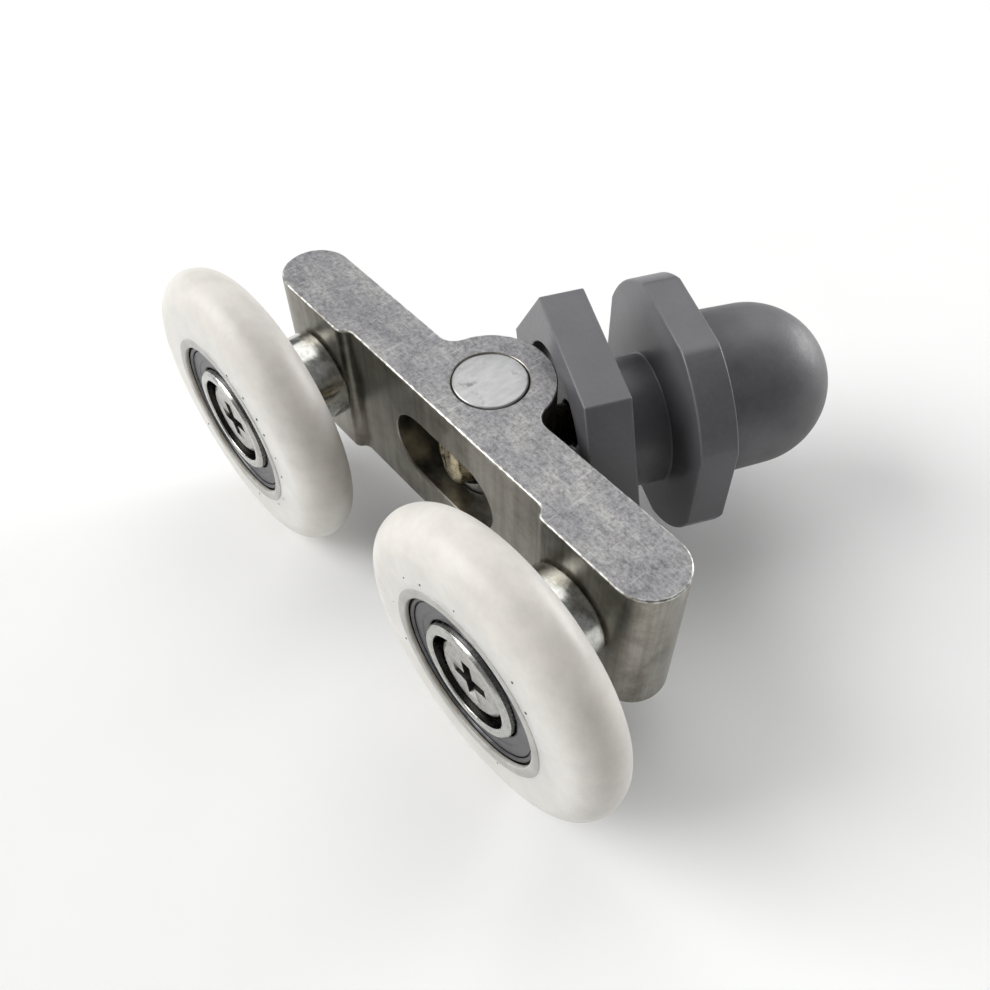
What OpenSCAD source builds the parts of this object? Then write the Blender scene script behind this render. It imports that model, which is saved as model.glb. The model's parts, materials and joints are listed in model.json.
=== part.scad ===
// Twin-wheel door roller for a hung glass panel.
// X runs along the rail, +Y points from the wheels to the glass, Z is up.
// The origin is on the rail, midway between the two wheels' contact points.

/* [Wheels] */
// Diameter over the tread of each wheel
wheel_d = 25; // [23:0.5:27]
// Distance between the two wheel axles
axle_span = 31.8; // [30:0.2:34]
// Radius of the rounded crown of the tyre, seen in section
crown_r = 2.4; // [2.2:0.05:2.5]
// Opening in the tyre's flat lip, through which the bearing shows
lip_bore_r = 6.82; // [6.6:0.02:7]

/* [Bracket] */
// Height of the extruded bracket
bracket_h = 14; // [12:0.5:16]
// Thickness of the two arms
arm_t = 6; // [5:0.25:7]
// Distance from the wheels' mid-plane to the pivot pin's axis
pivot_y = 12.9; // [12.5:0.1:14]
// Outer radius of the boss around the pivot pin
boss_r = 5.2; // [4.8:0.1:5.3]

/* [Mount] */
// Swing of the glass mount about the pivot pin
mount_yaw = 24; // [-24:1:24]
// Upward tilt of the clamp screw, within the play of its cross hole
screw_tilt = 1; // [-4:0.5:4]
// Size of the hexagonal block across its flats
block_af = 19.4; // [18:0.1:19.4]
// Thickness of the hexagonal block
block_t = 3.7; // [3.5:0.1:5]
// Length of the neck between block and flange, the thinnest glass it takes
neck_l = 4.6; // [4:0.2:8]
// Radius of the round neck that fills the hole in the glass
neck_r = 5.5; // [5:0.1:5.8]
// Offset of the neck from the screw, which sets the height adjustment
neck_throw = 1.3; // [0.5:0.1:1.5]
// Outer radius of the cam's flange
flange_r = 10.6; // [10:0.1:11]
// Distance across the four flats on the flange, for turning the cam
flange_af = 19.8; // [18:0.1:20.5]
// Radius of the dome cap where it meets the flange
dome_r = 7.05; // [6.5:0.05:7.5]

/* [Hidden] */
$fn = 96;
eps = 0.01;       // overlap that makes cutters pass clean through a face
run_gap = 0.05;   // radial clearance of a running fit
seat_gap = 0.02;  // radial clearance of a part that is pushed in and stays
wheel_r = wheel_d / 2;

// bracket outline, seen from above, with the pivot axis as its own origin
arm_back = 0.1;                      // the arms' rear face is level with the pin's centre
arm_front = arm_back - arm_t;
arm_mid = arm_back - arm_t / 2;
end_x = 19.8;                        // centre of each rounded end
step_r = 0.8;                        // both arcs of the step between pad and recess
step_run = step_r * sqrt(3) / 2;     // each arc turns 60 degrees, so the recess is step_r deep
recess_y = arm_front + step_r;
recess_x = 12;                       // middle of that step
fillet_r = 1.5;                      // blend between boss and arm
fillet_x = sqrt(pow(boss_r + fillet_r, 2) - pow(arm_back + fillet_r, 2));
slot_w = 12.4;                       // front slot, wide enough for the screw head to swing
slot_h = 6.5;
rear_slot_w = 9.6;                   // rear slot, where only the shank swings
rear_slot_h = 5;

// pivot pin and clamp screw, along the screw from the pivot axis
pin_r = 3;
pin_proud = 0.12;                    // the staked ends stand just clear of the bracket
pin_hole_r = 2.3;                    // cross hole, loose enough for the screw to tilt
shank_r = 2;
head_r = 2.8;
head_seat = -2.15;                   // underside of the head, just clear of the flat on the pin
head_l = 2.1;
pin_flat = -1.85;
shank_end = 24;
block_front = 5.3;
recess_r = 7.2;                      // round hollow in the block's front face
recess_d = 1.4;
relief_r = 7;                        // hollow in the rear face, so the block bears on glass and not on the neck
relief_d = 0.3;
face_gap = 0.1;
neck_start = block_front + block_t + face_gap;
flange_front = neck_start + neck_l;
flange_t = 3.1;
flange_back = flange_front + flange_t;
block_roll = -7;                     // angle of the block's first corner
flange_roll = -1;                    // angle of the flange's first flat
throw_angle = -85;                   // direction of the neck's offset at rest

// dome cap
cap_start = flange_back + face_gap;
dome_side = 5.4;                     // length of the slightly tapered side
dome_top_r = 6.9;
insert_r = 3.6;
insert_l = 7.5;
cap_bore_gap = 0.3;                  // round the screw, beyond the insert
cap_end_gap = 0.5;                   // beyond the end of the screw

// bearing, measured from the wheel's mid-plane, front positive
lip_r = 7.6;
lip_z = 2.55;
race_r = 7.5;
race_half = 2.2;
race_in_r = 6.35;
inner_r = 4.6;
inner_half = 2.5;
inner_bore_r = 3;
counterbore_r = 3.77;
axle_head_r = 3.13;
axle_seat = 1.25;
axle_head_l = 0.93;
pitch_r = 5.45;
ball_r = 1.2;
ball_n = 8;
shield_z = 1.85;
shield_t = 0.2;
bush_r = 3.95;
pad_z = -(pivot_y + arm_front);      // the bracket's pad, in the wheel's own frame
axle_tip = -(pivot_y + arm_back - 0.6);

// the screw's own frame: its Z runs along the screw to the dome
module screw_frame(tilt = screw_tilt)
    translate([0, pivot_y, wheel_r]) rotate([0, 0, -mount_yaw]) rotate([tilt - 90, 0, 0]) children();

// the wheel's own frame: its Z runs along the axle to the front
module wheel_frame(side)
    translate([side * axle_span / 2, 0, wheel_r]) rotate([90, 0, 0]) children();

// a hexagonal bar with its first corner at the given angle, counted upwards
module hex_bar(af, h, roll) rotate(-roll) cylinder(d = af / cos(30), h = h, $fn = 6);

// a ring standing on z
module ring(r_out, r_in, h)
    difference() {
        cylinder(r = r_out, h = h);
        translate([0, 0, -eps]) cylinder(r = r_in, h = h + 2 * eps);
    }

// a screwdriver cross that is sunk from z = 0 downwards
module cross_recess(span, depth)
    for (turn = [0, 90])
        rotate(turn) translate([-span / 2, -span / 9, -depth]) cube([span, span / 4.5, depth + eps]);

// a flat oblong slot, standing along Y
module slot_cutter(w, h, from, to)
    translate([0, to, 0]) rotate([90, 0, 0]) linear_extrude(to - from) {
        for (side = [-1, 1]) translate([side * (w - h) / 2, 0]) circle(d = h);
        square([w - h, h], center = true);
    }

// the curved blend between boss and arm, on one side
module boss_fillet()
    difference() {
        polygon([[0, 0], [fillet_x, 0], [fillet_x, arm_back + fillet_r]]);
        translate([fillet_x, arm_back + fillet_r]) circle(fillet_r);
    }

// what is cut away for one end of the front recess, in two 60 degree arcs
module recess_end() {
    translate([recess_x - step_run, recess_y - step_r]) circle(step_r);
    difference() {
        translate([recess_x - eps, arm_front - 1]) square([step_run, 1 + step_r / 2]);
        translate([recess_x + step_run, arm_front + step_r]) circle(step_r);
    }
}

module bracket_outline()
    difference() {
        union() {
            translate([-end_x, arm_front]) square([2 * end_x, arm_t]);
            for (side = [-1, 1]) translate([side * end_x, arm_mid]) circle(arm_t / 2);
            circle(boss_r);
            boss_fillet();
            mirror([1, 0]) boss_fillet();
        }
        translate([-(recess_x - step_run), arm_front - 1]) square([2 * (recess_x - step_run), 1 + step_r]);
        recess_end();
        mirror([1, 0]) recess_end();
    }

module bracket()
    color("#9a999b") translate([0, pivot_y, wheel_r]) difference() {
        translate([0, 0, -bracket_h / 2]) linear_extrude(bracket_h) bracket_outline();
        cylinder(r = pin_r + run_gap, h = bracket_h + 2, center = true);
        slot_cutter(slot_w, slot_h, arm_front - 1, 0);
        slot_cutter(rear_slot_w, rear_slot_h, -eps, boss_r + 1);
        for (side = [-1, 1]) translate([side * axle_span / 2, arm_mid, 0])
            rotate([90, 0, 0]) cylinder(r = shank_r, h = arm_t + 2, center = true);
    }

module pivot_pin()
    color("#c8c8c8") difference() {
        translate([0, pivot_y, wheel_r])
            cylinder(r = pin_r, h = bracket_h + 2 * pin_proud, center = true);
        screw_frame(0) {
            translate([0, 0, -pin_r - 1]) cylinder(r = pin_hole_r, h = 2 * pin_r + 2);
            translate([0, 0, -pin_r - 1]) cylinder(r = head_r + 0.35, h = pin_r + 1 + pin_flat);
        }
    }

module clamp_screw()
    color("#9a927f") screw_frame() difference() {
        union() {
            translate([0, 0, head_seat - eps]) cylinder(r = shank_r, h = shank_end - head_seat + eps);
            translate([0, 0, head_seat - head_l]) cylinder(r = head_r, h = head_l);
        }
        translate([0, 0, head_seat - head_l]) mirror([0, 0, 1]) cross_recess(3.6, 1.2);
    }

module hex_block()
    color("#a8a8a8") screw_frame() difference() {
        translate([0, 0, block_front]) hex_bar(block_af, block_t, block_roll);
        translate([0, 0, block_front - eps]) cylinder(r = recess_r, h = recess_d + eps);
        translate([0, 0, block_front + block_t - relief_d]) cylinder(r = relief_r, h = relief_d + eps);
        translate([0, 0, block_front - eps]) cylinder(r = shank_r + run_gap, h = block_t + 2 * eps);
    }

module eccentric_cam()
    color("#8e8f90") screw_frame() difference() {
        union() {
            rotate(-throw_angle) translate([neck_throw, 0, neck_start]) cylinder(r = neck_r, h = neck_l + eps);
            translate([0, 0, flange_front]) intersection() {
                cylinder(r = flange_r, h = flange_t);
                rotate(-flange_roll) translate([-flange_af / 2, -flange_af / 2, -1])
                    cube([flange_af, flange_af, flange_t + 2]);
            }
        }
        translate([0, 0, neck_start - eps]) cylinder(r = shank_r + run_gap, h = flange_back - neck_start + 2 * eps);
    }

module dome_cap()
    color("#747377") screw_frame() difference() {
        union() {
            translate([0, 0, cap_start]) cylinder(r1 = dome_r, r2 = dome_top_r, h = dome_side);
            // only the sphere's outer half, so that it stays off the cap's open end
            intersection() {
                translate([0, 0, cap_start + dome_side]) sphere(r = dome_top_r);
                translate([0, 0, cap_start + dome_side - 1]) cylinder(r = dome_r, h = dome_top_r + 2);
            }
        }
        translate([0, 0, cap_start - eps]) cylinder(r = insert_r, h = insert_l + eps);
        translate([0, 0, cap_start]) cylinder(r = shank_r + cap_bore_gap, h = shank_end - cap_start + cap_end_gap);
    }

module cap_insert()
    color("#b9a15a") screw_frame() translate([0, 0, cap_start])
        ring(insert_r, shank_r + seat_gap, insert_l);

module tyre(side)
    color("#e4e2de") wheel_frame(side) rotate_extrude() difference() {
        union() {
            translate([wheel_r - crown_r, 0]) circle(crown_r);
            translate([lip_bore_r, -crown_r]) square([wheel_r - crown_r - lip_bore_r, 2 * crown_r]);
            translate([lip_bore_r, -lip_z]) square([lip_r - lip_bore_r, 2 * lip_z]);
        }
        translate([lip_bore_r - 1, -race_half]) square([race_r - lip_bore_r + 1, 2 * race_half]);
    }

module outer_race(side)
    color("#5a5a5c") wheel_frame(side) rotate_extrude() difference() {
        translate([race_in_r, -race_half]) square([race_r - race_in_r, 2 * race_half]);
        translate([pitch_r, 0]) circle(ball_r + run_gap);
    }

module inner_race(side)
    color("#b0b0ac") wheel_frame(side) rotate_extrude() difference() {
        translate([inner_bore_r, -inner_half]) square([inner_r - inner_bore_r, 2 * inner_half]);
        translate([inner_bore_r - 1, axle_seat]) square([counterbore_r - inner_bore_r + 1, inner_half]);
        translate([pitch_r, 0]) circle(ball_r + run_gap);
    }

module at_balls() for (i = [0 : ball_n - 1]) rotate(i * 360 / ball_n) translate([pitch_r, 0, 0]) children();

module balls(side) color("#d0d0d0") wheel_frame(side) at_balls() sphere(r = ball_r);

// a crown cage: a rail behind the balls with fingers between them
module cage(side)
    color("#3a3a38") wheel_frame(side) difference() {
        translate([0, 0, -1.7]) ring(pitch_r + 0.45, pitch_r - 0.45, 2.5);
        at_balls() sphere(r = ball_r + run_gap);
        at_balls() cylinder(r = ball_r - 0.2, h = 2);
    }

module shield(side, end)
    color("#6f6d72") wheel_frame(side)
        translate([0, 0, end * (shield_z + shield_t / 2) - shield_t / 2])
            ring(race_in_r, inner_r + 0.12, shield_t);

module spacer_bush(side)
    color("#b8b8b4") wheel_frame(side) difference() {
        union() {
            translate([0, 0, pad_z]) cylinder(r = bush_r, h = -inner_half - pad_z);
            translate([0, 0, -inner_half - eps]) cylinder(r = inner_bore_r - seat_gap, h = inner_half + axle_seat);
        }
        translate([0, 0, pad_z - eps]) cylinder(r = shank_r, h = axle_seat - pad_z + 1);
    }

module axle_screw(side)
    color("#a7a5a2") wheel_frame(side) difference() {
        union() {
            translate([0, 0, axle_tip]) cylinder(r = shank_r - seat_gap, h = axle_seat - axle_tip + eps);
            translate([0, 0, axle_seat]) cylinder(r = axle_head_r, h = axle_head_l / 2);
            translate([0, 0, axle_seat + axle_head_l / 2])
                cylinder(r1 = axle_head_r, r2 = axle_head_r - 0.3, h = axle_head_l / 2);
        }
        translate([0, 0, axle_seat + axle_head_l]) rotate(20) cross_recess(3.4, 1.1);
    }

bracket();
pivot_pin();
clamp_screw();
hex_block();
eccentric_cam();
dome_cap();
cap_insert();
tyre(-1);  // left_tyre
outer_race(-1);  // left_outer_race
inner_race(-1);  // left_inner_race
balls(-1);  // left_balls
cage(-1);  // left_cage
shield(-1, 1);  // left_front_shield
shield(-1, -1);  // left_rear_shield
spacer_bush(-1);  // left_spacer_bush
axle_screw(-1);  // left_axle_screw
tyre(1);  // right_tyre
outer_race(1);  // right_outer_race
inner_race(1);  // right_inner_race
balls(1);  // right_balls
cage(1);  // right_cage
shield(1, 1);  // right_front_shield
shield(1, -1);  // right_rear_shield
spacer_bush(1);  // right_spacer_bush
axle_screw(1);  // right_axle_screw
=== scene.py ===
import json
import math

import bmesh
import bpy
from mathutils import Matrix, Vector


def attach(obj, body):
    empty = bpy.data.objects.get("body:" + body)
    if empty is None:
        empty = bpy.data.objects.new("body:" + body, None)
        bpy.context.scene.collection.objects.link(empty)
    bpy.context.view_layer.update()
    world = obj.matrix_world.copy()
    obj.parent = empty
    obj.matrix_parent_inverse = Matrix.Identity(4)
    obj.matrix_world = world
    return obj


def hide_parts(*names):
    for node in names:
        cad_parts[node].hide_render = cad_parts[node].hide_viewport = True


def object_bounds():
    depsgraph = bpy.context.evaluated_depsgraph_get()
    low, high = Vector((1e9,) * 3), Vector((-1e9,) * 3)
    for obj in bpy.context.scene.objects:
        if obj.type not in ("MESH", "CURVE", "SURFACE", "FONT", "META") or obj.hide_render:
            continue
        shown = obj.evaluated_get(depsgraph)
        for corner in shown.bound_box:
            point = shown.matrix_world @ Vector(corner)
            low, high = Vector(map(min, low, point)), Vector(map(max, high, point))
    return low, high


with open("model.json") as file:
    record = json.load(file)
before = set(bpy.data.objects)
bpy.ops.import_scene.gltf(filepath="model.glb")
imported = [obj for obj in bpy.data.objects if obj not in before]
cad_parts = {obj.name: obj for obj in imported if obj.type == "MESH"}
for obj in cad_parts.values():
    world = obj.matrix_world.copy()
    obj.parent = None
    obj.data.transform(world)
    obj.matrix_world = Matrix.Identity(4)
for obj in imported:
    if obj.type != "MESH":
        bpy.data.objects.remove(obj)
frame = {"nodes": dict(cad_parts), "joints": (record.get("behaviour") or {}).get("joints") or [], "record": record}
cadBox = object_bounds()
scene = bpy.context.scene
mm = 0.001  # the frame is in metres, the sizes below are millimetres
sides = ("left", "right")


def log(text):
    print("door roller:", text)


def axes(place, zDir, xDir):
    # a matrix that stands a shape made round Z on an axis of the frame, and scales millimetres to metres
    z = Vector(zDir).normalized()
    y = z.cross(Vector(xDir)).normalized()
    x = y.cross(z)
    turn = Matrix((x, y, z)).transposed().to_4x4()
    return Matrix.Translation(Vector(place)) @ turn @ Matrix.Scale(mm, 4)


# the axes that the pieces are built on, all taken from the frame's joints
joints = {joint["name"]: joint for joint in frame["joints"]}
pivotAt = Vector(joints["mount_swivel"]["pos_m"])
screwAxes = axes(pivotAt, joints["cam_turn"]["axis"], joints["screw_tilt"]["axis"])
pinAxes = axes(pivotAt, (0, 0, 1), (1, 0, 0))
wheelAxes = {side: axes(joints[side + "_wheel_spin"]["pos_m"], (0, -1, 0), (1, 0, 0)) for side in sides}


def reach(node, matrix):
    # lowest and highest z of a CAD node along an axis of the frame, in mm
    back = matrix.inverted()
    heights = [(back @ vertex.co).z for vertex in frame["nodes"][node].data.vertices]
    return min(heights), max(heights)


def girth(node, matrix):
    # outer and inner radius of a CAD node about an axis of the frame, in mm
    back = matrix.inverted()
    radii = [(back @ vertex.co).xy.length for vertex in frame["nodes"][node].data.vertices]
    return max(radii), min(radii)


def linear(hexColour):
    parts = [int(hexColour[i:i + 2], 16) / 255 for i in (1, 3, 5)]
    return [c / 12.92 if c <= 0.04045 else ((c + 0.055) / 1.055) ** 2.4 for c in parts] + [1]


def feed(tree, node, inputs):
    # inputs are named or numbered; each is a plain value, a socket, or a node whose first output is used
    for key, value in inputs.items():
        socket = node.inputs[key]
        if isinstance(key, str) and not socket.enabled:
            socket = next(other for other in node.inputs if other.name == key and other.enabled)
        if isinstance(value, bpy.types.Node):
            value = next(output for output in value.outputs if output.enabled)
        if isinstance(value, bpy.types.NodeSocket):
            tree.links.new(value, socket)
        else:
            socket.default_value = value


def addNode(tree, kind, inputs=None, stops=(), **settings):
    # stops are a ramp's (place, hex colour), or (place, number) where the ramp makes a factor
    node = tree.nodes.new(kind)
    for name, value in settings.items():
        setattr(node, name, value)
    for i in range(2, len(stops)):
        node.color_ramp.elements.new(0.5)
    for i, (place, colour) in enumerate(stops):
        stop = node.color_ramp.elements[i]
        stop.position = place
        stop.color = linear(colour) if isinstance(colour, str) else [colour] * 3 + [1]
    feed(tree, node, inputs or {})
    return node


def startMaterial(name, metallic, roughness, ior=None):
    material = bpy.data.materials.new(name)
    material.use_nodes = True
    tree = material.node_tree
    shader = tree.nodes["Principled BSDF"]
    feed(tree, shader, {"Metallic": metallic, "Roughness": roughness})
    if ior:
        feed(tree, shader, {"IOR": ior})
    return material, tree, shader, addNode(tree, "ShaderNodeTexCoord")


def grain(tree, coords, size, detail=4, stretch=(1, 1, 1), turn=(0, 0, 0), rough=0.55):
    # a noise pattern whose lumps are about size mm across, drawn out by stretch
    where = addNode(tree, "ShaderNodeMapping", {
        "Vector": coords.outputs["Object"],
        "Rotation": [math.radians(angle) for angle in turn],
        "Scale": [1 / (size * mm * factor) for factor in stretch]})
    return addNode(tree, "ShaderNodeTexNoise", {
        "Vector": where, "Scale": 1.0, "Detail": detail, "Roughness": rough, "Distortion": 0.0})


def tinted(tree, tone, amount, pattern, stops):
    # darkens a tone where the pattern's ramp is dark, as far as amount allows
    shade = addNode(tree, "ShaderNodeValToRGB", {"Fac": pattern}, stops)
    return addNode(tree, "ShaderNodeMix", {"Factor": amount, "A": tone, "B": shade},
                   data_type="RGBA", blend_type="MULTIPLY")


def finishMaterial(tree, shader, tone, roughness, relief):
    # relief is (pattern, depth in mm), the coarsest first
    surface = {"Base Color": tone, "Roughness": roughness}
    for pattern, depth in relief:
        inputs = {"Height": pattern, "Distance": depth * mm, "Strength": 1.0}
        if "Normal" in surface:
            inputs["Normal"] = surface["Normal"]
        surface["Normal"] = addNode(tree, "ShaderNodeBump", inputs)
    feed(tree, shader, surface)


noiseSpan = {"From Min": 0.3, "From Max": 0.7}  # nearly all of a noise pattern's values lie in here

# mm. Real saw marks, scores and die lines are nearer 0.05 apart, and are drawn coarser so that they show
extrusion = {
    "cloud": 3.6, "pit": 0.34, "sawMark": 0.16, "score": 0.22, "dieLine": 0.16, "broadLine": 0.9,
    "stain": 2.4, "chip": 0.7, "endSkin": 0.4, "endRough": (0.44, 0.62), "sideRough": (0.28, 0.46),
    "endDepth": 0.02, "pitDepth": 0.03, "sideDepth": 0.008}


def sawnAluminium():
    # bare extrusion cut to length: mottled sawn ends, die lines down the sides, bright edges painted partly as
    # rubbed wear and partly as painted highlight
    material, tree, shader, coords = startMaterial("bareAluminiumExtrusion", 1.0, 0.5)
    low, high = [at * mm for at in reach("bracket", Matrix.Scale(mm, 4))]
    facing = addNode(tree, "ShaderNodeSeparateXYZ", {"Vector": coords.outputs["Normal"]})
    place = addNode(tree, "ShaderNodeSeparateXYZ", {"Vector": coords.outputs["Object"]})
    upright = addNode(tree, "ShaderNodeMath", {0: facing.outputs["Z"]}, operation="ABSOLUTE")
    level = addNode(tree, "ShaderNodeMath", {0: upright, 1: 0.9}, operation="GREATER_THAN")
    middle = (low + high) / 2
    height = addNode(tree, "ShaderNodeMath", {0: place.outputs["Z"], 1: middle}, operation="SUBTRACT")
    fromMiddle = addNode(tree, "ShaderNodeMath", {0: height}, operation="ABSOLUTE")
    endFrom = (high - low) / 2 - extrusion["endSkin"] * mm
    atEnd = addNode(tree, "ShaderNodeMath", {0: fromMiddle, 1: endFrom}, operation="GREATER_THAN")
    cutEnd = addNode(tree, "ShaderNodeMath", {0: level, 1: atEnd}, operation="MULTIPLY")

    clouds = grain(tree, coords, extrusion["cloud"], 7, stretch=(1.8, 1, 1), turn=(0, 0, 30), rough=0.75)
    pits = grain(tree, coords, extrusion["pit"], 4, rough=0.8)
    sawMarks = grain(tree, coords, extrusion["sawMark"], 4, stretch=(7, 1, 1), turn=(0, 0, 22), rough=0.7)
    scores = grain(tree, coords, extrusion["score"], 2, stretch=(1, 16, 1), turn=(0, 0, -38))
    endTone = addNode(tree, "ShaderNodeValToRGB", {"Fac": clouds}, [
        (0.34, "#8F8E92"), (0.5, "#ABAAAB"), (0.64, "#C6C5C3")])
    endTone = tinted(tree, endTone, 0.6, pits, [(0.34, "#7E7D80"), (0.47, "#D2D2D2"), (0.6, "#FFFFFF")])
    endTone = tinted(tree, endTone, 0.3, sawMarks, [(0.36, "#96959A"), (0.5, "#E4E4E4"), (0.66, "#FFFFFF")])
    scored = addNode(tree, "ShaderNodeValToRGB", {"Fac": scores}, [(0.64, 0.0), (0.72, 1.0)])
    scratched = addNode(tree, "ShaderNodeMath", {0: scored, 1: 0.22}, operation="MULTIPLY")
    endTone = addNode(tree, "ShaderNodeMix", {"Factor": scratched, "A": endTone, "B": linear("#E6E6E4")},
                      data_type="RGBA")

    dieLines = grain(tree, coords, extrusion["dieLine"], 3, stretch=(1, 1, 60))
    broadLines = grain(tree, coords, extrusion["broadLine"], 2, stretch=(1, 1, 30))
    stains = grain(tree, coords, extrusion["stain"], 6, rough=0.7)
    sideTone = addNode(tree, "ShaderNodeValToRGB", {"Fac": broadLines}, [
        (0.32, "#99968F"), (0.5, "#A8A59E"), (0.7, "#B5B2AC")])
    sideTone = tinted(tree, sideTone, 0.6, stains, [(0.36, "#8F8980"), (0.5, "#D9D5CC"), (0.64, "#FFFFFF")])
    sideTone = tinted(tree, sideTone, 0.15, dieLines, [(0.35, "#8C8A86"), (0.6, "#FFFFFF")])

    tone = addNode(tree, "ShaderNodeMix", {"Factor": cutEnd, "A": sideTone, "B": endTone}, data_type="RGBA")
    # the bevelled edges are painted bright, partly as rubbed wear and partly as painted highlight
    wearAndHighlight = addNode(tree, "ShaderNodeAttribute", attribute_name="edgeWearAndHighlight")
    chips = grain(tree, coords, extrusion["chip"], 3, rough=0.7)
    patchy = addNode(tree, "ShaderNodeValToRGB", {"Fac": chips}, [(0.42, 0.05), (0.6, 0.8)])
    wornAndHighlit = addNode(tree, "ShaderNodeMath", {0: wearAndHighlight.outputs["Fac"], 1: patchy}, operation="MULTIPLY")
    tone = addNode(tree, "ShaderNodeMix", {"Factor": wornAndHighlit, "A": tone, "B": linear("#E4E4E0")},
                   data_type="RGBA")

    (endSmooth, endDull), (sideSmooth, sideDull) = extrusion["endRough"], extrusion["sideRough"]
    endRough = addNode(tree, "ShaderNodeMapRange", {
        "Value": clouds, "To Min": endSmooth, "To Max": endDull, **noiseSpan})
    sideRough = addNode(tree, "ShaderNodeMapRange", {
        "Value": stains, "To Min": sideSmooth, "To Max": sideDull, **noiseSpan})
    rough = addNode(tree, "ShaderNodeMix", {"Factor": cutEnd, "A": sideRough, "B": endRough},
                    data_type="FLOAT")
    scoring = addNode(tree, "ShaderNodeMath", {0: sawMarks, 1: scores}, operation="ADD")
    endRelief = addNode(tree, "ShaderNodeMath", {0: cutEnd, 1: scoring}, operation="MULTIPLY")
    pitRelief = addNode(tree, "ShaderNodeMath", {0: cutEnd, 1: pits}, operation="MULTIPLY")
    drawnSide = addNode(tree, "ShaderNodeMath", {0: 1.0, 1: cutEnd}, operation="SUBTRACT")
    sideRelief = addNode(tree, "ShaderNodeMath", {0: drawnSide, 1: dieLines}, operation="MULTIPLY")
    finishMaterial(tree, shader, tone, rough, [
        (endRelief, extrusion["endDepth"]), (pitRelief, extrusion["pitDepth"]),
        (sideRelief, extrusion["sideDepth"])])
    return material


def turnedSteel(name, tones, rough, line, stretch, depth, dented=0.0):
    # turned and plated metal: fine lathe lines and slightly cloudy plating, with painted shade, near black, on the
    # faces marked for it
    material, tree, shader, coords = startMaterial(name, 1.0, rough[0])
    clouds = grain(tree, coords, 0.5, 4, rough=0.6)
    lines = grain(tree, coords, line, 2, stretch=stretch)
    tone = addNode(tree, "ShaderNodeValToRGB", {"Fac": clouds}, list(zip((0.32, 0.52, 0.7), tones)))
    tone = tinted(tree, tone, 0.2, lines, [(0.35, "#A2A2A0"), (0.6, "#FFFFFF")])
    # painted shade: the marked faces are mixed towards near black
    shadeAndGreyMark = addNode(tree, "ShaderNodeAttribute", attribute_name="shadeAndGrey")
    tone = addNode(tree, "ShaderNodeMix", {
        "Factor": shadeAndGreyMark.outputs["Fac"], "A": tone, "B": linear("#0E0D0B")}, data_type="RGBA")
    relief = [(lines, depth)]
    if dented:
        dents = grain(tree, coords, 1.3, 4, rough=0.7)
        tone = tinted(tree, tone, dented, dents, [(0.3, "#6E6E6E"), (0.42, "#FFFFFF")])
        relief.insert(0, (dents, depth * 4))
    roughness = addNode(tree, "ShaderNodeMapRange", {
        "Value": clouds, "To Min": rough[0], "To Max": rough[1], **noiseSpan})
    finishMaterial(tree, shader, tone, roughness, relief)
    return material


def mouldedPlastic(name, tones, rubbedAndHighlit, rough, ior, speckle, skin, depth, glow=0.0):
    # injection moulded: an even tone with faint flow clouds and the fine skin of the mould
    material, tree, shader, coords = startMaterial(name, 0.0, rough[0], ior)
    clouds = grain(tree, coords, 4.5, 3, rough=0.5)
    fine = grain(tree, coords, speckle, 4, rough=0.7)
    mouldSkin = grain(tree, coords, skin, 3, rough=0.6)
    tone = addNode(tree, "ShaderNodeValToRGB", {"Fac": clouds}, list(zip((0.3, 0.7), tones)))
    tone = tinted(tree, tone, 0.35, fine, [(0.3, "#D2D2D2"), (0.62, "#FFFFFF")])
    # the bevelled edges are paled a little, partly as rubbed wear and partly as painted highlight
    wearAndHighlight = addNode(tree, "ShaderNodeAttribute", attribute_name="edgeWearAndHighlight")
    paledAndHighlit = addNode(tree, "ShaderNodeMath", {0: wearAndHighlight.outputs["Fac"], 1: 0.2}, operation="MULTIPLY")
    tone = addNode(tree, "ShaderNodeMix", {"Factor": paledAndHighlit, "A": tone, "B": linear(rubbedAndHighlit)},
                   data_type="RGBA")
    # the marked faces are greyed patchily: a grey tone on the tyre's lip, and painted shade on its bore wall
    shadeAndGreyMark = addNode(tree, "ShaderNodeAttribute", attribute_name="shadeAndGrey")
    patchy = addNode(tree, "ShaderNodeValToRGB", {"Fac": fine}, [(0.35, 1.0), (0.65, 0.6)])
    greyAndShade = addNode(tree, "ShaderNodeMath", {0: shadeAndGreyMark.outputs["Fac"], 1: patchy}, operation="MULTIPLY")
    tone = addNode(tree, "ShaderNodeMix", {"Factor": greyAndShade, "A": tone, "B": linear("#8E8A82")},
                   data_type="RGBA")
    if glow:
        feed(tree, shader, {"Subsurface Weight": glow, "Subsurface Radius": (1.0, 0.82, 0.66),
                            "Subsurface Scale": 3.5 * mm})
    roughness = addNode(tree, "ShaderNodeMapRange", {
        "Value": fine, "To Min": rough[0], "To Max": rough[1], **noiseSpan})
    finishMaterial(tree, shader, tone, roughness, [(mouldSkin, depth)])
    return material


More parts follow.
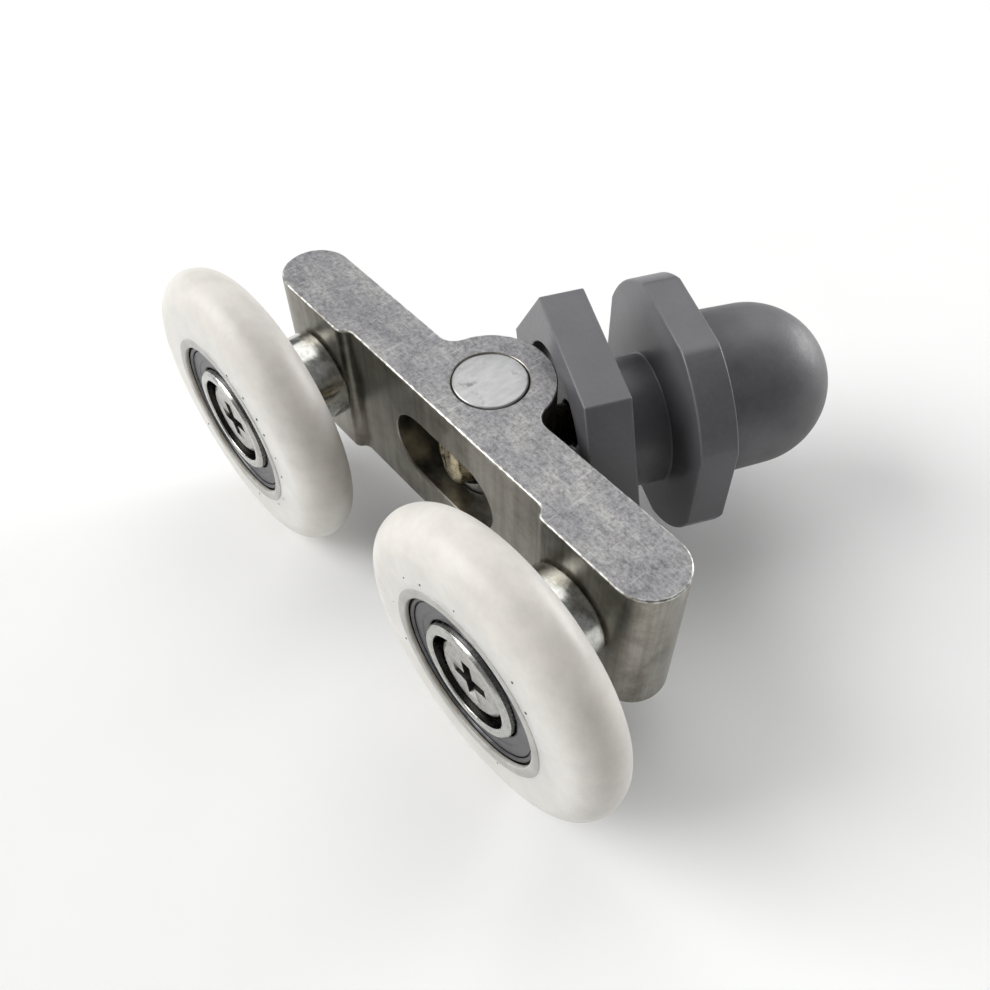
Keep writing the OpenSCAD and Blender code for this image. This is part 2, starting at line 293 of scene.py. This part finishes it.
# line, speckle, skin and depth are in mm. Real lathe lines and mould skin are nearer 0.05 apart, and are
# drawn coarser so that they show
metals = {
    # zinc plate, dulled and dented where it was peened over
    "pin_steel": {
        "name": "peenedPlatedSteel", "tones": ("#B2B2B2", "#BABABA", "#C2C2C2"), "rough": (0.42, 0.55),
        "line": 0.5, "stretch": (1, 3, 1), "depth": 0.003, "dented": 0.5},
    # nickel plate over steel, warm, and darkened in the slot by painted shade
    "nickel_steel": {
        "name": "warmNickelPlate", "tones": ("#8F856C", "#B3A88C", "#CFC6AE"), "rough": (0.2, 0.38),
        "line": 0.12, "stretch": (8, 8, 1), "depth": 0.006},
    # turned brass, a soft yellow shine with lines across the turning
    "brass": {
        "name": "turnedBrass", "tones": ("#A58A48", "#C2A65E", "#D9C07C"), "rough": (0.25, 0.4),
        "line": 0.12, "stretch": (1, 1, 8), "depth": 0.006},
    # ground ring steel, an even grey shine
    "bearing_steel": {
        "name": "groundBearingSteel", "tones": ("#B0B0AC", "#BBBBB7", "#C6C6C2"), "rough": (0.2, 0.32),
        "line": 0.08, "stretch": (8, 1, 8), "depth": 0.004},
    # lapped balls, close to a mirror
    "ball_steel": {
        "name": "polishedBallSteel", "tones": ("#C6C6C6", "#D2D2D2", "#DEDEDE"), "rough": (0.05, 0.1),
        "line": 0.3, "stretch": (1, 1, 1), "depth": 0.001},
    # pressed sheet, dark from its phosphate coat
    "shield_steel": {
        "name": "darkPressedSteel", "tones": ("#57575A", "#68686B", "#767679"), "rough": (0.3, 0.46),
        "line": 0.12, "stretch": (4, 4, 4), "depth": 0.004},
    # bright zinc on the turned bushes, a clear shine that shows the ring lines
    "zinc_steel": {
        "name": "brightZincPlate", "tones": ("#B2B3AC", "#CDCDC8", "#E4E4DF"), "rough": (0.12, 0.26),
        "line": 0.1, "stretch": (12, 1, 12), "depth": 0.006},
    # nickel on the axle screws, a shade duller and warmer than the bushes
    "screw_steel": {
        "name": "nickelPlatedSteel", "tones": ("#ABA9A5", "#B6B4B0", "#C0BEBA"), "rough": (0.26, 0.38),
        "line": 0.1, "stretch": (5, 5, 5), "depth": 0.005},
    # the outer ring's dark tone is painted shade for the shadowed gap beside the shield, so it reads as one with
    # the shield
    "shadedRace": {
        "name": "shadeDarkenedBearingSteel", "tones": ("#4E4E51", "#5C5C5F", "#69696C"), "rough": (0.3, 0.45),
        "line": 0.1, "stretch": (8, 1, 8), "depth": 0.004}}
plastics = {
    # moulded glass-filled nylon, a satin mid grey
    "grey_nylon": {
        "name": "satinGreyNylon", "tones": ("#57565A", "#605F63"), "rubbedAndHighlit": "#7E7D81",
        "rough": (0.32, 0.42), "ior": 1.55, "speckle": 0.4, "skin": 0.12, "depth": 0.004},
    # the same nylon from an eroded mould, so the dome looks powdery
    "grey_matt_nylon": {
        "name": "mattGreyNylon", "tones": ("#515053", "#69686B"), "rubbedAndHighlit": "#7E7D80",
        "rough": (0.42, 0.56), "ior": 1.55, "speckle": 0.5, "skin": 0.2, "depth": 0.014},
    # moulded acetal: a warm white that light soaks into, satin with no sharp highlight
    "acetal": {
        "name": "whiteAcetal", "tones": ("#D4D1CB", "#DAD7D2"), "rubbedAndHighlit": "#E6E4E0", "rough": (0.36, 0.48),
        "ior": 1.48, "speckle": 2.5, "skin": 0.5, "depth": 0.003, "glow": 0.5},
    # moulded ball cages, nearly black and satin
    "cage_nylon": {
        "name": "blackNylon", "tones": ("#1E1E1C", "#2A2A28"), "rubbedAndHighlit": "#3C3C3A", "rough": (0.4, 0.55),
        "ior": 1.53, "speckle": 0.4, "skin": 0.15, "depth": 0.004}}

finishes = {"bare_aluminium": sawnAluminium()}
for slot, metal in metals.items():
    finishes[slot] = turnedSteel(**metal)
for slot, plastic in plastics.items():
    finishes[slot] = mouldedPlastic(**plastic)
log("materials made")


def rounded(corners, closed=True, steps=5):
    # corners are (radius, height, rounding) in mm, and each gets an arc of its rounding
    out = []
    count = len(corners)
    for i, (x, y, radius) in enumerate(corners):
        here = Vector((x, y))
        if radius <= 0 or (not closed and i in (0, count - 1)):
            out.append(tuple(here))
            continue
        before = (Vector(corners[i - 1][:2]) - here).normalized()
        after = (Vector(corners[(i + 1) % count][:2]) - here).normalized()
        half = math.acos(max(-1, min(1, before.dot(after)))) / 2
        if half > math.radians(88):  # nearly straight on, so there is nothing to round
            out.append(tuple(here))
            continue
        run = radius / math.tan(half)
        centre = here + (before + after).normalized() * (radius / math.sin(half))
        start, end = here + before * run - centre, here + after * run - centre
        sweep = start.angle_signed(end)
        for step in range(steps + 1):
            turn = -sweep * step / steps
            arm = Vector((start.x * math.cos(turn) - start.y * math.sin(turn),
                          start.x * math.sin(turn) + start.y * math.cos(turn)))
            out.append(tuple(centre + arm))
    return out


def newPiece(name, mesh):
    piece = bpy.data.objects.new(name, mesh)
    scene.collection.objects.link(piece)
    return piece


def fromBmesh(name, shape, matrix=None):
    # doubles are merged in the shape's own unit, which is mm when a matrix goes with it
    bmesh.ops.remove_doubles(shape, verts=shape.verts, dist=0.0005 if matrix else 1e-7)
    bmesh.ops.recalc_face_normals(shape, faces=shape.faces)
    if matrix:
        shape.transform(matrix)
    for face in shape.faces:
        face.smooth = True
    mesh = bpy.data.meshes.new(name)
    shape.to_mesh(mesh)
    shape.free()
    return newPiece(name, mesh)


def lathe(name, profile, matrix, around=144, closed=True, wobble=None):
    # profile is (radius, height) in mm, swept round Z. An open one starts and ends on the axis
    shape = bmesh.new()
    rings = []
    for radius, height in profile:
        if radius < 1e-6:
            rings.append([shape.verts.new((0, 0, height))])
            continue
        ring = []
        for i in range(around):
            angle = math.tau * i / around
            r = radius + (wobble(angle, radius, height) if wobble else 0)
            ring.append(shape.verts.new((r * math.cos(angle), r * math.sin(angle), height)))
        rings.append(ring)
    pairs = list(zip(rings, rings[1:]))
    if closed:
        pairs.append((rings[-1], rings[0]))
    for first, second in pairs:
        for i in range(around):
            j = (i + 1) % around
            loop = ((first, i), (first, j), (second, j), (second, i))
            corners = list(dict.fromkeys(ring[k % len(ring)] for ring, k in loop))
            if len(corners) > 2:
                shape.faces.new(corners)
    return fromBmesh(name, shape, matrix)


def baked(piece):
    # swaps the piece's modifiers for their result
    graph = bpy.context.evaluated_depsgraph_get()
    graph.update()
    mesh = bpy.data.meshes.new_from_object(piece.evaluated_get(graph), depsgraph=graph)
    piece.modifiers.clear()
    piece.data = mesh
    return piece


def evenNormals(piece):
    weigh = piece.modifiers.new("evenNormals", "WEIGHTED_NORMAL")
    weigh.weight = 60
    return baked(piece)


def cutAway(piece, tools):
    for tool in tools:
        cut = piece.modifiers.new("cut", "BOOLEAN")
        cut.operation = "DIFFERENCE"
        cut.solver = "EXACT"
        cut.object = tool
    baked(piece)
    for tool in tools:
        bpy.data.objects.remove(tool)
    return piece


def softened(piece, width, segments=3, angle=28, clamp=True):
    # rounds the sharp edges over and marks the new faces, so that a finish can paint them bright, partly as rubbed
    # wear and partly as painted highlight
    piece.data.materials.clear()
    for _ in range(2):
        piece.data.materials.append(None)
    for face in piece.data.polygons:
        face.use_smooth = True
        face.material_index = 0
    bevel = piece.modifiers.new("soften", "BEVEL")
    bevel.width = width * mm
    bevel.segments = segments
    bevel.limit_method = "ANGLE"
    bevel.angle_limit = math.radians(angle)
    bevel.material = 1
    bevel.miter_outer = "MITER_ARC"
    bevel.use_clamp_overlap = clamp
    evenNormals(piece)
    wearAndHighlight = piece.data.attributes.new("edgeWearAndHighlight", "FLOAT", "FACE")
    for face in piece.data.polygons:
        wearAndHighlight.data[face.index].value = 1.0 if face.material_index == 1 else 0.0
        face.material_index = 0
    piece.data.materials.clear()
    return piece


def keepWearAndHighlight(piece, matrix, kept):
    # leaves the edges painted bright, as rubbed wear and painted highlight, only where kept(radius, z) says so
    back = matrix.inverted()
    wearAndHighlight = piece.data.attributes["edgeWearAndHighlight"].data
    for face in piece.data.polygons:
        at = back @ face.center
        if not kept(at.xy.length, at.z):
            wearAndHighlight[face.index].value = 0.0
    return piece


def shadeAndGrey(piece, matrix, amount, darkened):
    # marks faces by amount, where the test on (radius, z) about an axis of the frame says so: painted shade in the
    # hollows of the metal parts, and a grey tone on the tyre's lip with painted shade on its bore wall
    back = matrix.inverted()
    marks = piece.data.attributes.new("shadeAndGrey", "FLOAT", "FACE")
    for face in piece.data.polygons:
        at = back @ face.center
        marks.data[face.index].value = amount if darkened(at.xy.length, at.z) else 0.0
    return piece


def copyOf(node, name):
    # a CAD node's shape with its triangles joined up again into whole faces
    source = frame["nodes"][node].data
    shape = bmesh.new()
    corners = [shape.verts.new(vertex.co) for vertex in source.vertices]
    for face in source.polygons:
        shape.faces.new([corners[i] for i in face.vertices])
    bmesh.ops.remove_doubles(shape, verts=shape.verts, dist=2e-6)
    bmesh.ops.dissolve_degenerate(shape, edges=shape.edges, dist=1e-6)
    bmesh.ops.dissolve_limit(shape, angle_limit=math.radians(0.6), verts=shape.verts, edges=shape.edges)
    return fromBmesh(name, shape)


slotOf = {part["node"]: part["material_slot"] for part in frame["record"]["subparts"]}
bodyOf = {node: body for body, nodes in frame["record"]["behaviour"]["bodies"].items() for node in nodes}


def settle(piece, node, standsFor=True, finish=None):
    # gives a piece its finish and its body, and hides the CAD node that it stands for
    piece.data.materials.clear()
    piece.data.materials.append(finishes[finish or slotOf[node]])
    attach(piece, bodyOf[node])
    if standsFor:
        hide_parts(node)
    return piece


def startTree(name, inputs):
    tree = bpy.data.node_groups.new(name, "GeometryNodeTree")
    for label, kind in inputs.items():
        tree.interface.new_socket(label, in_out="INPUT", socket_type=kind)
    tree.interface.new_socket("Finish", in_out="INPUT", socket_type="NodeSocketMaterial")
    tree.interface.new_socket("Geometry", in_out="OUTPUT", socket_type="NodeSocketGeometry")
    return tree, addNode(tree, "NodeGroupInput").outputs


def endTree(tree, given, shape):
    whole = addNode(tree, "GeometryNodeRealizeInstances", {"Geometry": shape})
    painted = addNode(tree, "GeometryNodeSetMaterial", {"Geometry": whole, "Material": given["Finish"]})
    addNode(tree, "NodeGroupOutput", {"Geometry": painted})
    return tree


def grow(name, tree, values, matrix):
    # runs a tree on an empty mesh and keeps the result as a plain mesh in its place
    piece = newPiece(name, bpy.data.meshes.new(name))
    modifier = piece.modifiers.new("grow", "NODES")
    modifier.node_group = tree
    for item in tree.interface.items_tree:
        if item.in_out == "INPUT":
            modifier[item.identifier] = values[item.name]
    baked(piece)
    piece.data.transform(matrix)
    for face in piece.data.polygons:
        face.use_smooth = True
    return piece


def crossCutters(name, span, depth, matrix):
    # a cross point cut by two tapering wings, one across the other
    wings = []
    # half length, half width and height
    mouth, foot = (span / 2, span / 8, 0.4), (span / 4, span / 12, -depth)
    for turn in (0, 90):
        shape = bmesh.new()
        spin = Matrix.Rotation(math.radians(turn), 4, "Z")
        rings = []
        for x, y, z in (mouth, foot):
            rings.append([shape.verts.new(spin @ Vector((sx * x, sy * y, z)))
                          for sx, sy in ((-1, -1), (1, -1), (1, 1), (-1, 1))])
        for i in range(4):
            j = (i + 1) % 4
            shape.faces.new((rings[0][i], rings[0][j], rings[1][j], rings[1][i]))
        shape.faces.new(rings[0])
        shape.faces.new(rings[1])
        wings.append(fromBmesh(name + str(turn), shape, matrix))
    return wings


def crossScrew(name, profile, matrix, face, cross):
    # a turned screw with a cross point in its face, which looks along the Z of the face matrix
    screw = lathe(name, profile, matrix, around=96, closed=False)
    place = face @ Matrix.Rotation(math.radians(cross["turn"]), 4, "Z")
    cutAway(screw, crossCutters(name + "Cross", cross["span"], cross["depth"], place))
    return softened(screw, cross["edge"], 2, 35)


def fleckTree():
    # small dark flecks scattered round the tyre's lip
    tree, given = startTree("lipFlecks", {
        "Radius": "NodeSocketFloat", "Places": "NodeSocketInt", "Fleck": "NodeSocketFloat",
        "Kept": "NodeSocketFloat", "Seed": "NodeSocketInt"})
    ring = addNode(tree, "GeometryNodeMeshCircle", {"Vertices": given["Places"], "Radius": given["Radius"]})
    drift = addNode(tree, "FunctionNodeRandomValue", {
        "Min": (-0.5, -0.5, 0), "Max": (0.5, 0.5, 0), "Seed": given["Seed"]}, data_type="FLOAT_VECTOR")
    moved = addNode(tree, "GeometryNodeSetPosition", {"Geometry": ring, "Offset": drift})
    kept = addNode(tree, "FunctionNodeRandomValue", {
        "Probability": given["Kept"], "Seed": given["Seed"]}, data_type="BOOLEAN")
    size = addNode(tree, "FunctionNodeRandomValue", {
        "Min": 0.4, "Max": 1.1, "Seed": given["Seed"]}, data_type="FLOAT")
    speck = addNode(tree, "GeometryNodeMeshIcoSphere", {"Radius": given["Fleck"], "Subdivisions": 2})
    placed = addNode(tree, "GeometryNodeInstanceOnPoints", {
        "Points": moved, "Selection": kept, "Instance": speck, "Scale": size})
    return endTree(tree, given, placed)


tyre = {"side": 2.42, "crown": 2.5, "crownSteps": 44, "lipOuter": 7.6, "lipStep": 0.08, "round": 0.12}
fleck = {"places": 26, "size": 0.12, "kept": 0.34, "outward": 0.55, "proud": 0.035, "flat": 0.5,
         "seeds": {"left": 11, "right": 5}}
flecks = fleckTree()


def makeTyre(side):
    node = side + "_tyre"
    matrix = wheelAxes[side]
    outer, lip = girth(node, matrix)
    high = reach(node, matrix)[1]
    seat = girth(side + "_outer_race", matrix)[0]
    raceHigh = reach(side + "_outer_race", matrix)[1]
    crownAt = outer - tyre["crown"]
    front = rounded([
        (seat, raceHigh, 0),
        (lip, raceHigh, 0.03),
        (lip, high, tyre["round"]),
        (tyre["lipOuter"], high, 0.06),
        (tyre["lipOuter"] + 0.05, high - tyre["lipStep"], 0.05),
        (crownAt, tyre["side"], 0)], closed=False, steps=4)
    crown = []
    for i in range(1, tyre["crownSteps"]):
        angle = math.pi / 2 - math.pi * i / tyre["crownSteps"]
        crown.append((crownAt + tyre["crown"] * math.cos(angle), tyre["side"] * math.sin(angle)))
    back = [(r, -z) for r, z in reversed(front)]
    piece = evenNormals(lathe(side + "Tyre", front + crown + back, matrix, around=192))
    # greys the lip ring patchily, and paints shade on the lip's bore wall
    shadeAndGrey(piece, matrix, 0.8, lambda radius, z: radius < tyre["lipOuter"] + 0.03 and abs(z) > raceHigh)
    settle(piece, node)

    place = matrix @ Matrix.Translation((0, 0, tyre["side"] + fleck["proud"]))
    marks = grow(side + "LipFlecks", flecks, {
        "Radius": tyre["lipOuter"] + fleck["outward"], "Places": fleck["places"], "Fleck": fleck["size"],
        "Kept": fleck["kept"], "Seed": fleck["seeds"][side], "Finish": finishes["cage_nylon"]},
        place @ Matrix.Diagonal((1, 1, fleck["flat"], 1)))
    settle(marks, side + "_cage", standsFor=False)
    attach(marks, bodyOf[node])  # the flecks are cage plastic in looks, but turn with the tyre


def ballRingTree():
    tree, given = startTree("ballRing", {
        "Pitch Radius": "NodeSocketFloat", "Ball Radius": "NodeSocketFloat", "Balls": "NodeSocketInt"})
    ring = addNode(tree, "GeometryNodeMeshCircle", {
        "Vertices": given["Balls"], "Radius": given["Pitch Radius"]})
    ball = addNode(tree, "GeometryNodeMeshIcoSphere", {"Radius": given["Ball Radius"], "Subdivisions": 4})
    placed = addNode(tree, "GeometryNodeInstanceOnPoints", {"Points": ring, "Instance": ball})
    return endTree(tree, given, placed)


race = {"chamfer": 0.22, "round": 0.04, "face": 0.3, "gapWide": 0.35, "gapDeep": 0.3, "edge": 0.12}
shield = {"rim": 0.3, "step": 0.09, "stepAt": 0.62, "slope": 0.12, "lip": 0.15}
axle = {"headHigh": 0.93, "headRoom": 0.64, "shank": 1.98, "lead": (0.3, 0.4), "edge": 0.22,
        "crown": (0.35, 0.04)}
ballRing = ballRingTree()


def makeBearing(side):
    matrix = wheelAxes[side]
    chamfer = race["chamfer"]
    edge = race["edge"]
    node = side + "_outer_race"
    outer, bore = girth(node, matrix)
    low, high = reach(node, matrix)
    gap, foot = bore + race["face"], high - race["gapDeep"]
    profile = [
        (bore, low), (outer - chamfer, low), (outer, low + chamfer), (outer, high - chamfer),
        (outer - chamfer, high), (gap + race["gapWide"], high), (gap + race["gapWide"], foot),
        (gap, foot), (gap, high), (bore + edge, high), (bore, high - edge)]
    profile = rounded([(r, z, race["round"]) for r, z in profile], steps=2)
    piece = evenNormals(lathe(side + "OuterRace", profile, matrix))
    # painted shade: the ring's face and groove beside the shield go near black
    shadeAndGrey(piece, matrix, 1.0, lambda radius, z: radius > gap and z > foot - 0.1)
    settle(piece, node, finish="shadedRace")

    node = side + "_inner_race"
    outer, bore = girth(node, matrix)
    low, high = reach(node, matrix)
    counterbore = girth(side + "_axle_screw", matrix)[0] + axle["headRoom"]
    seat = reach(side + "_axle_screw", matrix)[1] - axle["headHigh"]
    profile = [
        (bore, low + chamfer), (bore + chamfer, low), (outer - chamfer, low), (outer, low + chamfer),
        (outer, high - chamfer), (outer - chamfer, high), (counterbore + edge, high),
        (counterbore, high - edge), (counterbore, seat), (bore, seat)]
    profile = rounded([(r, z, race["round"]) for r, z in profile], steps=2)
    piece = evenNormals(lathe(side + "InnerRace", profile, matrix))
    # painted shade: the counterbore round the screw head goes near black
    shadeAndGrey(piece, matrix, 0.92, lambda radius, z: radius < counterbore + 0.02 and z > 0)
    settle(piece, node)

    for end in ("front", "rear"):
        node = side + "_" + end + "_shield"
        outer, bore = girth(node, matrix)
        low, high = reach(node, matrix)
        face, back, dip = (high, low, shield["step"]) if end == "front" else (low, high, -shield["step"])
        sheet = face - back
        middle = outer - (outer - bore) * shield["stepAt"]
        profile = rounded([
            (outer, face - sheet * 0.5, 0),
            (outer - 0.1, face, 0.04),
            (outer - shield["rim"], face, 0),
            (middle + shield["slope"], face, 0.06),
            (middle, face - dip, 0.06),
            (bore + shield["lip"], face - dip, 0.05),
            (bore, face - sheet * 0.8, 0),
            (bore, back, 0), (middle, back, 0), (outer, back, 0)], steps=3)
        settle(evenNormals(lathe(side + end.title() + "Shield", profile, matrix)), node)

    node = side + "_balls"
    outer, inner = girth(node, matrix)
    settle(grow(side + "Balls", ballRing, {
        "Pitch Radius": (outer + inner) / 2, "Ball Radius": (outer - inner) / 2, "Balls": 8,
        "Finish": finishes["ball_steel"]}, matrix), node)


axleCross = {"span": 4.0, "depth": 1.3, "turn": 12, "edge": 0.05}
bush = {"chamfer": 0.25, "neck": 0.35, "step": 0.05, "slack": 0.02}


def makeAxle(side):
    matrix = wheelAxes[side]
    node = side + "_axle_screw"
    headR = girth(node, matrix)[0]
    low, high = reach(node, matrix)
    seat = high - axle["headHigh"]
    shank = axle["shank"]
    profile = rounded([
        (0, low, 0),
        (shank - axle["lead"][0], low, 0),
        (shank, low + axle["lead"][1], 0),
        (shank, seat, 0),
        (headR, seat, 0.05),
        (headR, high - axle["edge"], 0.1),
        (headR - axle["crown"][0], high - axle["crown"][1], 0.1),
        (0, high, 0)], closed=False, steps=4)
    face = matrix @ Matrix.Translation((0, 0, high))
    piece = crossScrew(side + "AxleScrew", profile, matrix, face, axleCross)
    # painted shade: the inside of the cross point goes dark
    shadeAndGrey(piece, matrix, 0.75, lambda radius, z: radius < axleCross["span"] / 2 and z < high - 0.12)
    settle(piece, node)

    node = side + "_spacer_bush"
    outer, bore = girth(node, matrix)
    low, high = reach(node, matrix)
    shoulder = reach(side + "_inner_race", matrix)[0]
    spigot = girth(side + "_inner_race", matrix)[1] - bush["slack"]
    chamfer = bush["chamfer"]
    profile = rounded([
        (bore, low, 0),
        (outer - chamfer, low, 0.08),
        (outer, low + chamfer, 0.12),
        (outer, shoulder - chamfer * 2, 0.3),
        (outer - bush["neck"], shoulder - bush["step"], 0.1),
        (outer - bush["neck"], shoulder, 0.02),
        (spigot, shoulder, 0), (spigot, high, 0), (bore, high, 0)], steps=4)
    settle(evenNormals(lathe(side + "SpacerBush", profile, matrix)), node)


for side in sides:
    makeTyre(side)
    makeBearing(side)
    makeAxle(side)
log("wheels, bearings and axles made")

bracket = {"edge": 0.17, "segments": 3, "rim": 0.5}


def makeBracket():
    piece = softened(copyOf("bracket", "bracketBody"), bracket["edge"], bracket["segments"], clamp=False)
    # only the outer rims of the sawn ends are painted bright, as rubbed wear and painted highlight, not the slots
    # or the pin hole
    low, high = reach("bracket", pinAxes)
    rim = bracket["rim"]
    hole = girth("pivot_pin", pinAxes)[0] + rim
    keepWearAndHighlight(piece, pinAxes, lambda radius, z: radius > hole and not low + rim < z < high - rim)
    settle(piece, "bracket")


pin = {"crown": 0.1, "round": 0.175, "dish": (0.6, 0.02), "wobble": 0.05, "peenedFrom": 6.6, "core": 2,
       "crossHole": 2.3, "flat": 3.15, "flatAt": -1.85}


def peened(angle, radius, height):
    # the hammered rim is a little out of round
    if abs(height) < pin["peenedFrom"] or radius < pin["core"]:
        return 0.0
    return -pin["wobble"] * (0.5 + 0.5 * math.sin(3 * angle + 0.7 * math.sin(2 * angle + 1)))


def makePin():
    low, high = reach("pivot_pin", pinAxes)
    outer = girth("pivot_pin", pinAxes)[0]
    share, dish = pin["dish"]
    profile = rounded([
        (0, low, 0),
        (outer * share, low + dish, 0),
        (outer, low + pin["crown"], pin["round"]),
        (outer, high - pin["crown"], pin["round"]),
        (outer * share, high - dish, 0),
        (0, high, 0)], closed=False, steps=6)
    piece = lathe("pivotPin", profile, pinAxes, closed=False, wobble=peened)
    cutters = []
    for name, radius, top in (("pinHole", pin["crossHole"], 4), ("pinSpot", pin["flat"], pin["flatAt"])):
        drill = [(0, -4), (radius, -4), (radius, top), (0, top)]
        cutters.append(lathe(name, drill, screwAxes, closed=False, around=64))
    settle(softened(cutAway(piece, cutters), 0.06, 2, 40), "pivot_pin")


makeBracket()
makePin()
log("bracket and pin made")

block = {"edge": 0.14, "segments": 4}
cam = {"neckReach": 7.2, "edge": 0.16, "segments": 4}

settle(softened(copyOf("hex_block", "hexBlock"), block["edge"], block["segments"]), "hex_block")
piece = softened(copyOf("eccentric_cam", "eccentricCam"), cam["edge"], cam["segments"])
settle(keepWearAndHighlight(piece, screwAxes, lambda radius, z: radius > cam["neckReach"]), "eccentric_cam")

dome = {"mouth": 0.25, "taper": 0.15, "steps": 40, "tipDrop": 0.01}


def makeDome():
    low, high = reach("dome_cap", screwAxes)
    high -= dome["tipDrop"]  # the smooth tip stays inside the CAD tip's facets
    outer = girth("dome_cap", screwAxes)[0]
    insertR = girth("cap_insert", screwAxes)[0]
    insertTop = reach("cap_insert", screwAxes)[1]
    topR = outer - dome["taper"]
    ballAt = high - topR
    profile = rounded([
        (0, insertTop, 0),
        (insertR, insertTop, 0.1),
        (insertR, low, 0.1),
        (outer, low, dome["mouth"]),
        (topR, ballAt, 0)], closed=False, steps=4)
    for i in range(1, dome["steps"]):
        angle = math.pi / 2 * i / dome["steps"]
        profile.append((topR * math.cos(angle), ballAt + topR * math.sin(angle)))
    profile.append((0, ballAt + topR))
    settle(evenNormals(lathe("domeCap", profile, screwAxes, around=160, closed=False)), "dome_cap")


def threadTree():
    # a helical ridge, wound round Z from its foot up
    tree, given = startTree("thread", {
        "Radius": "NodeSocketFloat", "Length": "NodeSocketFloat", "Turns": "NodeSocketFloat",
        "Ridge": "NodeSocketFloat"})
    coil = addNode(tree, "GeometryNodeCurveSpiral", {
        "Resolution": 32, "Rotations": given["Turns"], "Start Radius": given["Radius"],
        "End Radius": given["Radius"], "Height": given["Length"]})
    section = addNode(tree, "GeometryNodeCurvePrimitiveCircle", {"Resolution": 4, "Radius": given["Ridge"]})
    return endTree(tree, given, addNode(tree, "GeometryNodeCurveToMesh", {
        "Curve": coil, "Profile Curve": section, "Fill Caps": True}))


clampHead = {"height": 2.1, "shank": 1.8, "lead": 0.5, "edge": 0.1}
clampCross = {"span": 3.4, "depth": 1.1, "turn": 40, "edge": 0.05}
clampThread = {"pitch": 0.7, "ridge": 0.17, "plain": 1.6, "short": 1}
thread = threadTree()


def makeClampScrew():
    low, high = reach("clamp_screw", screwAxes)
    headR = girth("clamp_screw", screwAxes)[0]
    seat = low + clampHead["height"]
    shank = clampHead["shank"]
    profile = rounded([
        (0, low, 0),
        (headR * 0.55, low + 0.06, 0.6),
        (headR * 0.85, low + 0.35, 0.8),
        (headR, low + 0.9, 0.4),
        (headR, seat - clampHead["edge"], 0.04),
        (headR - clampHead["edge"], seat, 0.04),
        (shank, seat, 0.1),
        (shank, high - clampHead["lead"], 0.1),
        (shank - clampHead["lead"], high, 0.1),
        (0, high, 0)], closed=False, steps=5)
    face = screwAxes @ Matrix.Translation((0, 0, low)) @ Matrix.Rotation(math.pi, 4, "X")
    piece = crossScrew("clampScrew", profile, screwAxes, face, clampCross)
    # painted shade: the shank beyond the pin's axis goes near black
    settle(shadeAndGrey(piece, screwAxes, 0.9, lambda radius, z: z > 0), "clamp_screw")

    start = reach("hex_block", screwAxes)[0] + clampThread["plain"]
    length = high - clampThread["short"] - start
    ridge = grow("clampScrewThread", thread, {
        "Radius": shank, "Length": length, "Turns": length / clampThread["pitch"],
        "Ridge": clampThread["ridge"], "Finish": finishes["nickel_steel"]},
        screwAxes @ Matrix.Translation((0, 0, start)))
    settle(ridge, "clamp_screw", standsFor=False)


makeDome()
makeClampScrew()
log("glass mount made")

# CAD nodes whose shape is already right only get a finish
for node, finish in (("cap_insert", "brass"), ("left_cage", "cage_nylon"), ("right_cage", "cage_nylon")):
    data = frame["nodes"][node].data
    data.materials.clear()
    data.materials.append(finishes[finish])

# sizes and distances in metres, each lamp's way out from the part, and its power in watts
studio = {"floor": 1.4, "sky": 0.26, "lamps": {
    "keyLight": {"way": (-0.5, -0.62, 0.55), "far": 1.05, "size": 0.75, "power": 10.6},
    "topLight": {"way": (-0.45, 0.4, 0.85), "far": 1.1, "size": 0.98, "power": 4.8},
    "backLight": {"way": (0.15, 1.0, 0.2), "far": 1.0, "size": 0.5, "power": 6.5}}}


def makeFloor():
    shape = bmesh.new()
    bmesh.ops.create_grid(shape, x_segments=8, y_segments=8, size=studio["floor"])
    floor = fromBmesh("floor", shape)
    # matt paper, faintly uneven and with no shine
    material, tree, shader, coords = startMaterial("paleStudioPaper", 0.0, 0.9)
    tone = addNode(tree, "ShaderNodeValToRGB", {"Fac": grain(tree, coords, 30, 3)}, [
        (0.3, "#F4F4F3"), (0.7, "#F7F7F6")])
    feed(tree, shader, {"Base Color": tone})
    floor.data.materials.append(material)


def makeLights():
    scene.world = bpy.data.worlds.new("softBox")
    scene.world.use_nodes = True
    tree = scene.world.node_tree
    feed(tree, tree.nodes["Background"], {"Color": linear("#F6F7F8"), "Strength": studio["sky"]})
    centre = (Vector(cadBox[0]) + Vector(cadBox[1])) / 2
    for name, lamp in studio["lamps"].items():
        light = bpy.data.lights.new(name, "AREA")
        light.size = lamp["size"]
        light.energy = lamp["power"]
        holder = bpy.data.objects.new(name, light)
        scene.collection.objects.link(holder)
        holder.location = centre + Vector(lamp["way"]).normalized() * lamp["far"]
        holder.rotation_euler = (centre - holder.location).to_track_quat("-Z", "Y").to_euler()


view = {"place": (41.49, -19.99, 71.41), "look": (-0.48913, 0.39037, -0.77998), "roll": -1.2, "lens": 34.97}


def makeCamera():
    camera = bpy.data.cameras.new("camera")
    camera.lens = view["lens"]
    camera.sensor_width = 36
    camera.clip_start = 2 * mm
    camera.clip_end = 20
    holder = bpy.data.objects.new("camera", camera)
    scene.collection.objects.link(holder)
    turn = Vector(view["look"]).to_track_quat("-Z", "Y").to_matrix()
    turn = turn @ Matrix.Rotation(math.radians(view["roll"]), 3, "Z")
    holder.matrix_world = Matrix.Translation(Vector(view["place"]) * mm) @ turn.to_4x4()
    scene.camera = holder


makeFloor()
makeLights()
makeCamera()
scene.view_settings.view_transform = "Standard"
log("studio made")
